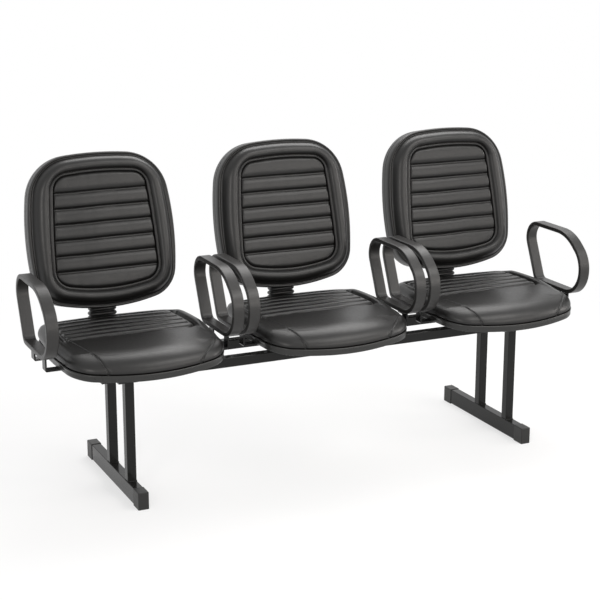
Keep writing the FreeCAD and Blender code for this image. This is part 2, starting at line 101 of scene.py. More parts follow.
floor_material = bpy.data.materials.new("pale_floor")
tree = blank_tree(floor_material)
place = node(tree, "NewGeometry")
reach = node(tree, "VectorMath", place.outputs["Position"], operation="LENGTH")
fade = node(tree, "MapRange", Value=reach.outputs["Value"], From_Min=0.7, From_Max=2.3,
            To_Min=0.62, To_Max=1.0, interpolation_type="SMOOTHSTEP")
share = node(tree, "Math", fade.outputs[0], seen_directly(tree), operation="MULTIPLY")
matt = node(tree, "BsdfDiffuse", Color=(0.92, 0.92, 0.92, 1))
white = node(tree, "Emission", Color=(1, 1, 1, 1), Strength=1.0)
mixed = node(tree, "MixShader", share.outputs[0], matt.outputs[0], white.outputs[0])
node(tree, "OutputMaterial", mixed.outputs[0])

mesh = bpy.data.meshes.new("floor")
mesh.from_pydata([(-30, -30, 0), (30, -30, 0), (30, 30, 0), (-30, 30, 0)], [], [(0, 1, 2, 3)])
mesh.materials.append(floor_material)
floor = bpy.data.objects.new("floor", mesh)
scene.collection.objects.link(floor)


def soft_lamp(name, place, aim, size, power, colour):
    light = bpy.data.lights.new(name, "AREA")
    light.shape = "RECTANGLE"
    light.size, light.size_y = size
    light.energy = power
    light.color = colour
    lamp = bpy.data.objects.new(name, light)
    lamp.location = place
    lamp.rotation_euler = (Vector(aim) - Vector(place)).to_track_quat("-Z", "Y").to_euler()
    scene.collection.objects.link(lamp)


soft_lamp("overhead_lamp", (1.2, 1.8, 3.4), (0, -0.1, 0.5), (3.0, 2.0), 80, (1.0, 0.985, 0.975))
soft_lamp("front_top_lamp", (1.6, -2.3, 3.6), (0, 0, 0.6), (2.6, 1.6), 66, (1.0, 0.975, 0.945))
soft_lamp("front_lamp", (1.9, -4.4, 1.75), (0, 0, 0.6), (3.8, 1.3), 56, (1.0, 0.95, 0.90))
soft_lamp("left_lamp", (-3.1, -3.5, 2.1), (0, 0, 0.7), (0.9, 1.7), 44, (1.0, 0.96, 0.92))
soft_lamp("right_lamp", (4.2, -1.6, 1.7), (0, 0, 0.7), (1.2, 1.6), 46, (1.0, 0.96, 0.92))

camera = bpy.data.objects.new("camera", bpy.data.cameras.new("camera"))
camera.data.lens = 89.44
camera.data.sensor_width = 36
camera.location = (-1.9658, -4.1253, 1.7092)
camera.rotation_euler = [math.radians(a) for a in (75.15, -0.08, -25.06)]
camera.data.clip_end = 200
scene.collection.objects.link(camera)
scene.camera = camera


# Feet: two rectangular steel tubes on edge, painted gloss black, with the columns
# welded on top. The paint has a slight orange peel and is scuffed along its edges.
def surface(name, colour, roughness, specular, lighter, grain, waves, metallic=0.0,
            edge_wear=0.0):
    """A finish with its own grain, uneven colour and gloss, and worn edges. Grain and
    waves are each (size in metres, depth in metres)."""
    made = bpy.data.materials.new(name)
    tree = blank_tree(made)
    at = node(tree, "TexCoord").outputs["Object"]
    cloud = node(tree, "TexNoise", Vector=at, Scale=9.0, Detail=4.0, Roughness=0.6)
    speck = node(tree, "TexNoise", Vector=at, Scale=140.0, Detail=3.0, Roughness=0.7)
    tone = node(tree, "Mix", data_type="RGBA")
    tree.links.new(cloud.outputs[0], tone.inputs[0])
    tone.inputs[6].default_value = (*colour, 1)
    tone.inputs[7].default_value = (*[c * lighter for c in colour], 1)
    shade = tone.outputs[2]
    low, high = roughness
    gloss = node(tree, "MapRange", Value=speck.outputs[0], From_Min=0.3, From_Max=0.7,
                 To_Min=low, To_Max=high)
    if edge_wear:
        soft = node(tree, "Bevel", samples=4, Radius=0.0012)
        flat = node(tree, "NewGeometry")
        turn = node(tree, "VectorMath", soft.outputs[0], flat.outputs["Normal"],
                    operation="DOT_PRODUCT")
        edge = node(tree, "MapRange", Value=turn.outputs["Value"], From_Min=0.985,
                    From_Max=0.93, To_Min=0.0, To_Max=1.0)
        patchy = node(tree, "MapRange", Value=speck.outputs[0], From_Min=0.5, From_Max=0.62,
                      To_Min=0.0, To_Max=edge_wear)
        wear = node(tree, "Math", edge.outputs[0], patchy.outputs[0], operation="MULTIPLY")
        worn = node(tree, "Mix", data_type="RGBA")
        tree.links.new(wear.outputs[0], worn.inputs[0])
        tree.links.new(shade, worn.inputs[6])
        worn.inputs[7].default_value = (0.12, 0.12, 0.12, 1)
        shade = worn.outputs[2]
    swell = node(tree, "TexNoise", Vector=at, Scale=1.0 / waves[0], Detail=2.0)
    rise = node(tree, "Bump", Height=swell.outputs[0], Strength=1.0, Distance=waves[1])
    pebble = node(tree, "TexVoronoi", Vector=at, Scale=1.0 / grain[0])
    fine = node(tree, "Bump", Height=pebble.outputs["Distance"], Strength=1.0,
                Distance=grain[1], Normal=rise.outputs[0])
    shader = node(tree, "BsdfPrincipled", Base_Color=shade, Roughness=gloss.outputs[0],
                  Normal=fine.outputs[0], Metallic=metallic)
    shader.inputs["Specular IOR Level"].default_value = specular
    node(tree, "OutputMaterial", shader.outputs[0])
    return made


def coat(names, material):
    """Gives CAD pieces their finish."""
    for name in names:
        piece = cad[name]
        if not piece.material_slots:
            piece.data.materials.append(material)
        for place in piece.material_slots:
            place.link = "OBJECT"
            place.material = material


sides = ("left", "right")
steel_paint = surface("gloss_black_paint", (0.0045, 0.0045, 0.0043), (0.14, 0.22), 0.24, 1.6,
                      (0.0016, 0.000015), (0.02, 0.00005), edge_wear=0.5)
coat([side + "_foot_tube" for side in sides], steel_paint)


# End caps: wrap-round mouldings of black plastic pushed over both ends of each foot,
# with a fine spark-eroded texture that leaves them duller than the paint.
cap_plastic = surface("cap_plastic", (0.012, 0.012, 0.0115), (0.36, 0.48), 0.35, 1.5,
                      (0.0006, 0.00004), (0.012, 0.00006), edge_wear=0.5)
coat([side + "_foot_cap_" + end for side in sides for end in ("front", "rear")],
     cap_plastic)


# Columns: two square tubes on each foot in the same paint, each welded round its
# foot and round its head plate with a small rippled bead.
coat([side + "_" + end + "_column" for side in sides for end in ("front", "rear")],
     steel_paint)


def quads(rows, columns, start=0, close_rows=False, close_columns=False):
    """Faces of a grid of vertices that are numbered row by row."""
    faces = []
    for j in range(rows if close_rows else rows - 1):
        for i in range(columns if close_columns else columns - 1):
            a = start + j * columns + i
            b = start + j * columns + (i + 1) % columns
            c = start + (j + 1) % rows * columns + (i + 1) % columns
            d = start + (j + 1) % rows * columns + i
            faces.append((a, b, c, d))
    return faces


def skin(name, points, faces, material, mend_normals=True):
    """A smooth-shaded mesh object, its faces turned outwards."""
    mesh = bpy.data.meshes.new(name)
    mesh.from_pydata(np.asarray(points, dtype=float).tolist(), [], faces)
    if mend_normals:
        work = bmesh.new()
        work.from_mesh(mesh)
        bmesh.ops.recalc_face_normals(work, faces=work.faces)
        work.to_mesh(mesh)
        work.free()
    mesh.shade_smooth()
    mesh.materials.append(material)
    piece = bpy.data.objects.new(name, mesh)
    scene.collection.objects.link(piece)
    return piece


def weld_bead(centre, half, radius, seed):
    """A rippled bead round a square tube: points and faces of one closed ring."""
    steps, round_steps, corner = 120, 8, 0.002
    rng = np.random.default_rng(seed)
    points = []
    for i in range(steps):
        turn = 2 * math.pi * (i + 0.5) / steps
        c, s = math.cos(turn), math.sin(turn)
        reach = (abs(c) ** 14 + abs(s) ** 14) ** (-1 / 14) * half
        swell = radius * (1 + 0.13 * math.sin(i * 2.1) + rng.uniform(-0.06, 0.06))
        for k in range(round_steps):
            roll = 2 * math.pi * k / round_steps
            out = swell * math.cos(roll)
            points.append((centre[0] + (reach + out) * c, centre[1] + (reach + out) * s,
                           centre[2] + swell * 0.8 * math.sin(roll)))
    return points, quads(steps, round_steps, close_rows=True, close_columns=True)


for side in sides:
    for end in ("front", "rear"):
        low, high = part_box(side + "_" + end + "_column")
        middle = [(low[i] + high[i]) / 2 for i in range(2)]
        half = (high[0] - low[0]) / 2
        points, faces = [], []
        for z in (low[2] + 0.0006, high[2] - 0.0006):
            ring, ring_faces = weld_bead((middle[0], middle[1], z), half, 0.0024, len(points))
            faces += [tuple(v + len(points) for v in f) for f in ring_faces]
            points += ring
        welds = skin(side + "_" + end + "_column_welds", points, faces, steel_paint)
        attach(welds, "root")


# Beams: two square tubes side by side under all the seats, bolted to a plate on top
# of each column and closed with plastic plugs at their ends.
coat(["front_beam", "rear_beam", "head_plates"], steel_paint)
coat(["beam_end_plugs"], cap_plastic)

bright_zinc = surface("zinc_plate", (0.45, 0.46, 0.47), (0.25, 0.42), 0.5, 1.25,
                      (0.0012, 0.00002), (0.01, 0.00003), metallic=1.0, edge_wear=0.4)
coat(["head_bolts"], bright_zinc)


# Carriers under each seat: folded steel channels across the beams and flat bars out
# to the arms, painted like the beams and screwed up into the seat board.
places = (1, 2, 3)
coat(["place_%d_seat_channels" % n for n in places], steel_paint)
coat(["place_%d_%s_arm_brackets" % (n, side) for n in places for side in sides],
     steel_paint)
coat(["place_%d_seat_screws" % n for n in places], bright_zinc)


# Seat boards and back boards: bent plywood stained black, as the photo shows no pale wood
# at any edge. The grain runs along the width and still shows through the stain.
plywood = bpy.data.materials.new("stained_plywood")
tree = blank_tree(plywood)
at = node(tree, "TexCoord").outputs["Object"]
stretched = node(tree, "Mapping", Vector=at, Scale=(3.0, 60.0, 260.0))
grain = node(tree, "TexNoise", Vector=stretched.outputs[0], Scale=1.6, Detail=6.0,
             Roughness=0.65, Distortion=0.6)
tone = node(tree, "ValToRGB", grain.outputs[0])
tone.color_ramp.elements[0].position = 0.3
tone.color_ramp.elements[0].color = (0.012, 0.010, 0.008, 1)
tone.color_ramp.elements[1].position = 0.72
tone.color_ramp.elements[1].color = (0.045, 0.036, 0.028, 1)
ridge = node(tree, "Bump", Height=grain.outputs[0], Strength=0.6, Distance=0.0002)
shader = node(tree, "BsdfPrincipled", Base_Color=tone.outputs[0], Roughness=0.6,
              Normal=ridge.outputs[0])
node(tree, "OutputMaterial", shader.outputs[0])
coat(["place_%d_seat_board" % n for n in places], plywood)
coat(["place_%d_back_board" % n for n in places], plywood)


# Edge trim: an extruded black plastic band round the edge of each seat board. Its top
# edge is a rounded lip that stands a little proud and catches the light.
def outline(half_width, widest, low, high, side_r, low_r, high_r, low_corner, high_corner,
            count):
    """Points and outward normals of an outline of four bowed sides and four corners,
    anticlockwise from the middle of its low side, with that count of points on each arc."""
    low_c, side_c, high_c = (0, low + low_r), (half_width - side_r, widest), (0, high - high_r)

    def corner(first, reach_a, second, reach_b, sign):
        gap = math.dist(first, second)
        along = (reach_a ** 2 - reach_b ** 2 + gap ** 2) / (2 * gap)
        aside = math.sqrt(reach_a ** 2 - along ** 2)
        ux, uy = (second[0] - first[0]) / gap, (second[1] - first[1]) / gap
        return (first[0] + ux * along + sign * uy * aside,
                first[1] + uy * along - sign * ux * aside)

    def bearing(frm, to):
        return math.atan2(to[1] - frm[1], to[0] - frm[0])

    low_k = corner(low_c, low_r - low_corner, side_c, side_r - low_corner, -1)
    high_k = corner(high_c, high_r - high_corner, side_c, side_r - high_corner, 1)
    turns = [-math.pi / 2, bearing(low_c, low_k), bearing(side_c, low_k),
             bearing(side_c, high_k), bearing(high_c, high_k), math.pi / 2]
    arcs = [(low_c, low_r), (low_k, low_corner), (side_c, side_r), (high_k, high_corner),
            (high_c, high_r)]
    points, normals = [], []
    for (centre, radius), start, end in zip(arcs, turns[:-1], turns[1:]):
        for t in np.linspace(start, end, count, endpoint=False):
            points.append((centre[0] + radius * math.cos(t), centre[1] + radius * math.sin(t)))
            normals.append((math.cos(t), math.sin(t)))
    points.append((0, high))
    normals.append((0, 1))
    points, normals = np.array(points), np.array(normals)
    mirror = np.array([-1, 1])
    return (np.vstack([points, (points * mirror)[-2:0:-1]]),
            np.vstack([normals, (normals * mirror)[-2:0:-1]]))


def trim_level(y):
    """The top of the edge trim, which dips with the board towards the front."""
    turn = np.arcsin(np.clip((bend_start - y) / bend_radius, 0, 0.5))
    return trim_top - bend_radius * (1 - np.cos(turn))


trim_plastic = surface("trim_plastic", (0.011, 0.011, 0.0105), (0.26, 0.38), 0.45, 1.4,
                       (0.0008, 0.00002), (0.015, 0.00006), edge_wear=0.2)
seat_half_width, trim_front, trim_rear, trim_top = 0.246, -0.278, 0.195, 0.438
bend_start, bend_radius = -0.155, 0.440
seat_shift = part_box("place_2_seat_trim")[0][1] - trim_front
trim_points, trim_normals = outline(seat_half_width, -0.040, trim_front, trim_rear, 1.500,
                                    0.570, 1.400, 0.094, 0.080, count=70)
lip = [(-0.0030, -0.0010), (-0.0024, -0.0001), (-0.0012, 0.0004), (0.0, 0.0001),
       (0.0008, -0.0010), (0.0011, -0.0026), (0.0008, -0.0042), (0.0001, -0.0054),
       (-0.0002, -0.0070), (0.0, -0.0120), (0.0, -0.0182), (-0.0006, -0.0195),
       (-0.0018, -0.0200), (-0.0030, -0.0198)]


def seat_centre(number):
    low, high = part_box("place_%d_seat_cushion" % number)
    return (low[0] + high[0]) / 2


for number in places:
    body = []
    for out, rise in lip:
        spot = trim_points + trim_normals * out
        body.append(np.column_stack([spot + (seat_centre(number), seat_shift),
                                     trim_level(trim_points[:, 1]) + rise]))
    band = skin("place_%d_seat_trim_band" % number, np.vstack(body),
                quads(len(lip), len(trim_points), close_rows=True, close_columns=True),
                trim_plastic)
    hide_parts("place_%d_seat_trim" % number)
    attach(band, "root")


# Seat cushions: foam in a sewn black leatherette cover. A channelled panel lies inside
# a rolled border at the sides and rear, the front runs plain over a round nose, and a
# seam with two rows of stitches on either side joins it to the side pieces.
leatherette = surface("black_leatherette", (0.0044, 0.0042, 0.0040), (0.33, 0.43), 0.42, 1.6,
                      (0.0011, 0.00003), (0.03, 0.0004))
thread = surface("black_thread", (0.016, 0.016, 0.016), (0.45, 0.6), 0.5, 1.4,
                 (0.0004, 0.00006), (0.004, 0.00004))


def nearest(spots, points, normals):
    """How far inside an outline each spot lies, and the outward normal there."""
    depth, facing = np.empty(len(spots)), np.empty((len(spots), 2))
    for k in range(0, len(spots), 2000):
        part = spots[k:k + 2000]
        gap = ((part[:, None, :] - points[None]) ** 2).sum(2)
        best = gap.argmin(1)
        facing[k:k + 2000] = normals[best]
        depth[k:k + 2000] = ((points[best] - part) * normals[best]).sum(1)
    return depth, facing


def ripple(a, b, seed, size):
    """Soft uneven waves of about that size over two coordinates."""
    rng = np.random.default_rng(seed)
    total = np.zeros_like(np.asarray(a, dtype=float))
    for _ in range(8):
        turn, phase = rng.uniform(0, 2 * math.pi, 2)
        length = size * rng.uniform(0.6, 1.7)
        total += np.sin((a * math.cos(turn) + b * math.sin(turn)) * 2 * math.pi / length + phase)
    return total / 8


def smooth(value):
    value = np.clip(value, 0, 1)
    return value * value * (3 - 2 * value)


def channels(across, seams, last, bulge, deep, strip, plain_below=False):
    """Height of a row of sewn channels: each rolls over into a deep groove at its low
    edge, then comes a flat stitched strip and a fine line before the next one."""
    height = np.zeros_like(across)
    low_edge, high_edge = -0.55 * strip, 0.9 * strip
    bounds = [last[0] - high_edge] + list(seams) + [last[1] - low_edge]
    for k in range(len(bounds) - 1):
        low, high = bounds[k] + high_edge, bounds[k + 1] + low_edge
        x = np.clip((across - low) / (high - low), 0, 1)
        peak = 0.42
        rise = np.clip(1 - x / peak, 0, 1)
        rising = -deep + (bulge + deep) * np.clip(1 - rise ** 2.8, 0, 1) ** 0.55
        over = np.clip((x - peak) / (1 - peak), 0, 1)
        falling = -0.0004 + (bulge + 0.0004) * (1 - over ** 3.2)
        body = np.where(x < peak, rising, falling)
        if k == 0 and plain_below:
            body = np.zeros_like(across)
        inside = (across >= low) & (across <= high)
        height = np.where(inside, body, height)
    for seam in seams:
        t = (across - seam) / strip
        level = np.interp(t, [-0.55, -0.36, 0.1, 0.62, 0.8, 0.9],
                          [-0.0013, 0.0001, 0.0005, 0.0004, -0.9 * deep, -deep])
        height = np.where((t >= -0.55) & (t <= 0.9), level, height)
    return height


def seam_rows(seams, low, high, strip, step):
    """Row positions from low to high, close together at each seam."""
    rows = set(np.linspace(low, high, int((high - low) / step) + 2).round(5))
    for seam in seams:
        rows = {r for r in rows if not -1.7 < (r - seam) / strip < 2.2}
        rows |= {round(seam + t * strip, 5) for t in
                 (-1.5, -1.0, -0.75, -0.6, -0.55, -0.47, -0.36, -0.1, 0.2, 0.5, 0.62, 0.71,
                  0.8, 0.9, 1.0, 1.12, 1.3, 1.6, 2.0)}
    return np.array(sorted(rows))


def along_line(line, step):
    """Evenly spaced points on a polyline of any dimension, smoothed at its corners."""
    line = np.array(line, dtype=float)
    for _ in range(3):
        cut = [line[0]]
        for a, b in zip(line[:-1], line[1:]):
            cut += [a * 0.75 + b * 0.25, a * 0.25 + b * 0.75]
        line = np.array(cut + [line[-1]])
    lengths = np.concatenate([[0], np.cumsum(np.linalg.norm(np.diff(line, axis=0), axis=1))])
    spots = np.linspace(0, lengths[-1], max(2, int(lengths[-1] / step)))
    return np.stack([np.interp(spots, lengths, line[:, k]) for k in range(line.shape[1])], 1)


seat_top = 0.480
seat_seams = [-0.053, -0.012, 0.029, 0.070, 0.111, 0.152]
front_bow = 0.569
arc_steps = 220
seat_points, seat_normals = outline(0.245, -0.040, -0.277, 0.194, 1.499, front_bow, 1.399,
                                    0.093, 0.079, arc_steps)


def panel_inset(facing):
    """How far inside the outline the rolled border starts."""
    front = smooth((-facing[:, 1] - 0.2) / 0.7)
    rear = smooth((facing[:, 1] - 0.3) / 0.6)
    return 0.038 + 0.012 * front - 0.015 * rear


def seat_level(spots, depth, facing):
    """Height of the plain cushion: a gentle fall towards the front, and an edge that is
    rounded more widely there than at the sides and rear."""
    x, y = spots[:, 0], spots[:, 1]
    top = seat_top - 0.002 * np.abs(x / seat_half_width) ** 2.5
    top = top - 0.004 * np.clip(y / trim_rear, 0, 1) ** 3
    bow = front_bow - np.sqrt(front_bow ** 2 - np.clip(x, -0.24, 0.24) ** 2)
    t = np.clip((-0.060 - y + bow) / 0.217, 0, 1)
    front = smooth((-facing[:, 1] - 0.15) / 0.85)
    reach = 0.038 + 0.056 * front
    rim = np.clip(1 - depth / reach, 0, 1)
    wall = 0.36 - 0.26 * front
    edge = wall + (1 - wall) * np.clip(1 - rim ** 2.1, 0, 1) ** 0.5
    base = trim_level(y) + 0.002
    return base + (top - 0.006 * t ** 1.8 - base) * edge


inset = panel_inset(seat_normals)
right = (seat_points - seat_normals * inset[:, None])[:len(seat_points) // 2 + 1]
front_y, rear_y = right[arc_steps][1], right[4 * arc_steps][1]
turned = np.array([1 - math.cos(math.pi / 2 * k / 38) for k in range(38)])
ends = [front_y + 0.078 * t for t in turned]
ends += list(seam_rows(seat_seams, front_y + 0.080, rear_y - 0.012, 0.0048, 0.0026))
ends += [rear_y - 0.010 * t for t in turned[:0:-5]] + [rear_y]
ends = np.array(ends)
half_rows = np.interp(ends, right[:, 1], right[:, 0])
bow = np.interp(ends, [front_y, -0.06, 0.06, rear_y],
                [right[0][1] - front_y, -0.003, 0.0, right[-1][1] - rear_y])
share = np.concatenate([np.linspace(0, 0.64, 28), np.linspace(0.64, 1, 42)[1:]])
share = np.concatenate([-share[:0:-1], share])
grid_x = half_rows[:, None] * share[None]
grid_y = ends[:, None] + bow[:, None] * (1 - share[None] ** 2)
rows, columns = grid_x.shape
spots = np.stack([grid_x.ravel(), grid_y.ravel()], 1)
panel_depth, panel_facing = nearest(spots, seat_points, seat_normals)
panel = np.column_stack([spots, seat_level(spots, panel_depth, panel_facing)])

index = np.arange(rows * columns).reshape(rows, columns)
loop = np.concatenate([index[0], index[1:, -1], index[-1, -2::-1], index[-2:0:-1, 0]])
rim_depth, rim_facing = panel_depth[loop], panel_facing[loop]
rim_spot = spots[loop] + rim_facing * rim_depth[:, None]
ring = []
border_loops, wall_loops = 26, 5
for k in range(1, border_loops + 1):
    inside = rim_depth * (1 - k / border_loops) ** 1.8
    spot = rim_spot - rim_facing * inside[:, None]
    ring.append(np.column_stack([spot, seat_level(spot, inside, rim_facing)]))
foot = trim_level(rim_spot[:, 1]) + 0.0006
edge_level = ring[-1][:, 2]
for k in range(1, wall_loops + 1):
    ring.append(np.column_stack([rim_spot, edge_level + (foot - edge_level) * k / wall_loops]))
ring_steps = len(ring)
ring_run = np.cumsum([np.linalg.norm(b - a, axis=1) for a, b in
                      zip([panel[loop]] + ring[:-1], ring)], axis=0)
whole_run = ring_run[-1]
rolled = smooth((rim_spot[:, 1] + 0.070) / 0.06)
raised = smooth((rim_spot[:, 1] + 0.150) / 0.17)

count = len(loop)
seat_faces = quads(rows, columns)
for i in range(count):
    j = (i + 1) % count
    seat_faces.append((int(loop[j]), int(loop[i]), rows * columns + i, rows * columns + j))
seat_faces += [f[::-1] for f in quads(ring_steps, count, start=rows * columns,
                                      close_columns=True)]
plain = np.vstack([panel] + ring)
mesh = bpy.data.meshes.new("plain_seat")
mesh.from_pydata(plain.tolist(), [], seat_faces)
plain_up = np.array([v.normal for v in mesh.vertices])
bpy.data.meshes.remove(mesh)

front_seams = {
    "left": [(-0.1390, -0.2620), (-0.1457, -0.2557), (-0.1506, -0.2439), (-0.1558, -0.2250),
             (-0.1622, -0.2015), (-0.1680, -0.1743), (-0.1742, -0.1449), (-0.1800, -0.1180),
             (-0.1855, -0.0880), (-0.1900, -0.0500), (-0.1955, -0.0170), (-0.2020, 0.0100)],
    "right": [(0.1380, -0.2610), (0.1445, -0.2574), (0.1537, -0.2492), (0.1640, -0.2403),
              (0.1780, -0.2268), (0.1953, -0.2080), (0.2120, -0.1841), (0.2265, -0.1510),
              (0.2350, -0.1086), (0.2385, -0.0700), (0.2385, -0.0300), (0.2355, 0.0100)],
}
hook = [(0.2070, 0.012), (0.2085, -0.010), (0.2062, -0.030), (0.1990, -0.046),
        (0.1860, -0.056), (0.1640, -0.060)]


def to_line(spots, line):
    """Distance of each spot from a line of close points, on which side it lies, and how
    far along."""
    line = np.array(line)
    gap = ((spots[:, None, :] - line[None]) ** 2).sum(2)
    best = gap.argmin(1)
    ahead = line[np.minimum(best + 1, len(line) - 1)] - line[np.maximum(best - 1, 0)]
    away = spots - line[best]
    side = np.sign(ahead[:, 0] * away[:, 1] - ahead[:, 1] * away[:, 0])
    return np.sqrt(gap.min(1)), side, best / (len(line) - 1)


def seat_relief(number):
    """What the sewing adds to the plain cushion, outwards, at each of its vertices."""
    x, y = panel[:, 0], panel[:, 1]
    from_border = panel_depth - panel_inset(panel_facing)
    held = smooth((y + 0.070) / 0.06)
    wave = ripple(x, y, 10 + number, 0.09)
    seam_y = y - 0.002 * (1 - (x / 0.2) ** 2) + 0.0006 * wave
    sewn = channels(seam_y, seat_seams, (-0.24, 0.176), 0.0042, 0.0042, 0.0048, True)
    ends_here = smooth((from_border - 0.0095) / 0.006)
    front_fade = smooth((y + 0.075) / 0.012)
    crease = 0.0005 * ripple(x, y * 0.15, 40 + number, 0.028) * smooth((y + 0.06) / 0.03)
    height = (sewn + crease) * ends_here * front_fade
    height += held * np.interp(from_border,
                               [0, 0.002, 0.0038, 0.0055, 0.0088, 0.0098, 0.011, 0.016],
                               [-0.0088, -0.0078, -0.0032, -0.0010, -0.0008, -0.0026,
                                -0.0008, 0])
    height += 0.0010 * ripple(x, y, 70 + number, 0.16)
    for side, strength in ((1, 1.0), (-1, 0.25)):
        gap, _, share = to_line(panel[:, :2] * (side, 1), along_line(hook, 0.0015))
        fade = smooth((1 - share) / 0.5) * smooth(share / 0.12) * strength
        height += fade * np.interp(gap, [0, 0.0022, 0.0045, 0.010], [-0.0066, -0.0056, -0.0012, 0])
    rolls = []
    around = np.arange(count) * 0.0024
    for k in range(ring_steps):
        run = ring_run[k]
        lift = np.interp(run, [0, 0.0020, 0.0040, 0.0075, 0.012, 0.018, 0.026, 0.036, 0.048, 0.058],
                         [-0.0088, -0.0074, -0.0022, 0.0034, 0.0070, 0.0094, 0.0096, 0.0072,
                          0.0034, 0])
        pucker = np.interp(run, [0, 0.004, 0.018], [0.0, 0.0004, 0])
        tuck = pucker * ripple(around, run, 90 + number, 0.016)
        shape = 0.0007 * ripple(ring[k][:, 0], ring[k][:, 1], 70 + number, 0.12)
        calm = smooth((whole_run - run) / 0.012)
        pulled_in = -0.0030 * (1 - smooth((whole_run - run) / 0.0050))
        rolls.append(np.minimum(lift, 0) * rolled + (np.maximum(lift, 0) + tuck) * raised
                     + shape * calm + pulled_in)
    height = np.concatenate([height] + rolls)
    for name, line in front_seams.items():
        gap, side, share = to_line(plain[:, :2], along_line(line, 0.0012))
        outer = side * (1 if name == "left" else -1) > 0
        dip = np.interp(gap, [0, 0.0011, 0.0024, 0.0032, 0.0041, 0.0050, 0.009],
                        [-0.0034, -0.0026, 0.0004, 0.0002, -0.0011, 0.0003, 0])
        welt = np.interp(gap, [0, 0.0012, 0.0022, 0.0034, 0.0050], [0, 0.0003, 0.0009, 0.0006, 0])
        fade = smooth((1 - share) / 0.08)
        height += fade * (dip + np.where(outer, welt, 0))
    return height


def tree_of(piece):
    """A search tree of a mesh's surface."""
    return BVHTree.FromPolygons([v.co for v in piece.data.vertices],
                                [tuple(f.vertices) for f in piece.data.polygons])


def sew(points, faces, tree, run, aside, pitch, length, radius):
    """Adds a row of thread stitches along a run of points, laid on the surface, at some
    distance aside."""
    lengths = np.concatenate([[0], np.cumsum(np.linalg.norm(np.diff(run, axis=0), axis=1))])
    for spot in np.arange(pitch / 2, lengths[-1], pitch):
        here = Vector([np.interp(spot, lengths, run[:, k]) for k in range(3)])
        ahead = Vector([np.interp(spot + 0.002, lengths, run[:, k]) for k in range(3)])
        behind = Vector([np.interp(spot - 0.002, lengths, run[:, k]) for k in range(3)])
        up = tree.find_nearest(here)[1]
        along = (ahead - behind).normalized()
        place, up = tree.find_nearest(here + along.cross(up) * aside)[:2]
        along = (along - up * along.dot(up)).normalized()
        side = along.cross(up)
        start = len(points)
        for t in (-1.0, -0.72, -0.25, 0.25, 0.72, 1.0):
            thick = radius * math.sqrt(max(1 - t * t, 0.06))
            middle = place + along * (t * length / 2) + up * radius * (0.75 - 0.9 * t * t)
            for k in range(6):
                turn = math.pi * k / 3
                points.append(middle + side * thick * math.cos(turn) + up * thick * math.sin(turn))
        faces += [f[::-1] for f in quads(6, 6, start=start, close_columns=True)]


def build_seat_cushion(number, centre_x):
    body = plain + plain_up * seat_relief(number)[:, None]
    tucked = []
    for inward, down in ((0.0036, 0.0006), (0.0046, 0.0012), (0.0052, 0.0042)):
        under = rim_spot - rim_facing * inward
        tucked.append(np.column_stack([under, foot - down]))
    body = np.vstack([body] + tucked + [[[0, -0.03, 0.4345]]])
    start = rows * columns + (ring_steps - 1) * count
    faces = seat_faces + [f[::-1] for f in quads(4, count, start=start, close_columns=True)]
    bottom = start + 3 * count
    faces += [(bottom + i, bottom + (i + 1) % count, len(body) - 1) for i in range(count)]
    body += (centre_x, seat_shift, 0)
    cover = skin("place_%d_seat_cushion_cover" % number, body, faces, leatherette)
    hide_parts("place_%d_seat_cushion" % number)
    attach(cover, "root")
    tree = tree_of(cover)
    points, faces = [], []
    for line in front_seams.values():
        spots = along_line(line, 0.002)
        depth, facing = nearest(spots, seat_points, seat_normals)
        levels = seat_level(spots, depth, facing)
        run = np.column_stack([spots, levels]) + (centre_x, seat_shift, 0)
        low_end = np.array([run[0] - (0, 0, d) for d in np.arange(0.004, 0.001, -0.002)])
        run = np.vstack([low_end, run])
        for aside in (-0.0041, 0.0041):
            sew(points, faces, tree, run, aside, 0.0048, 0.0034, 0.0006)
    for seam in seat_seams:
        reach = np.interp(seam, ends, half_rows) - 0.016
        across = np.linspace(-reach, reach, 90)
        run = np.column_stack([across + centre_x, np.full(90, seam + 0.0022 + seat_shift),
                               np.full(90, seat_top)])
        sew(points, faces, tree, run, 0, 0.0044, 0.0030, 0.00042)
    stitches = skin("place_%d_seat_stitches" % number, points, faces, thread, False)
    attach(stitches, "root")


for number in places:
    build_seat_cushion(number, seat_centre(number))


# Spring blades and their bellows: a flat steel blade bent up behind each seat carries
# the back, and a folded rubber boot covers it.
spring_steel = surface("spring_steel_paint", (0.012, 0.012, 0.012), (0.3, 0.4), 0.4, 1.5,
                       (0.0009, 0.00003), (0.02, 0.00005), edge_wear=0.5)
boot_rubber = surface("bellows_rubber", (0.006, 0.006, 0.006), (0.3, 0.42), 0.45, 1.6,
                      (0.0007, 0.00004), (0.01, 0.00012))
flex = {"back_%d" % n: next(j for j in frame["joints"] if j["name"] == "back_%d_flex" % n)
        for n in places}


def flex_point(number):
    return flex["back_%d" % number]["pos_m"]


def sliced_copy(name, new_name, material):
    """A CAD piece's shape as a mesh of its own, cut into fine bands."""
    work = bmesh.new()
    work.from_mesh(cad[name].data)
    low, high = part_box(name)
    level = low[2] + 0.004
    while level < high[2]:
        geometry = list(work.verts) + list(work.edges) + list(work.faces)
        bmesh.ops.bisect_plane(work, geom=geometry, plane_co=(0, 0, level), plane_no=(0, 0, 1))
        level += 0.006
    mesh = bpy.data.meshes.new(new_name)
    work.to_mesh(mesh)
    work.free()
    mesh.materials.clear()
    mesh.materials.append(material)
    piece = bpy.data.objects.new(new_name, mesh)
    scene.collection.objects.link(piece)
    return piece


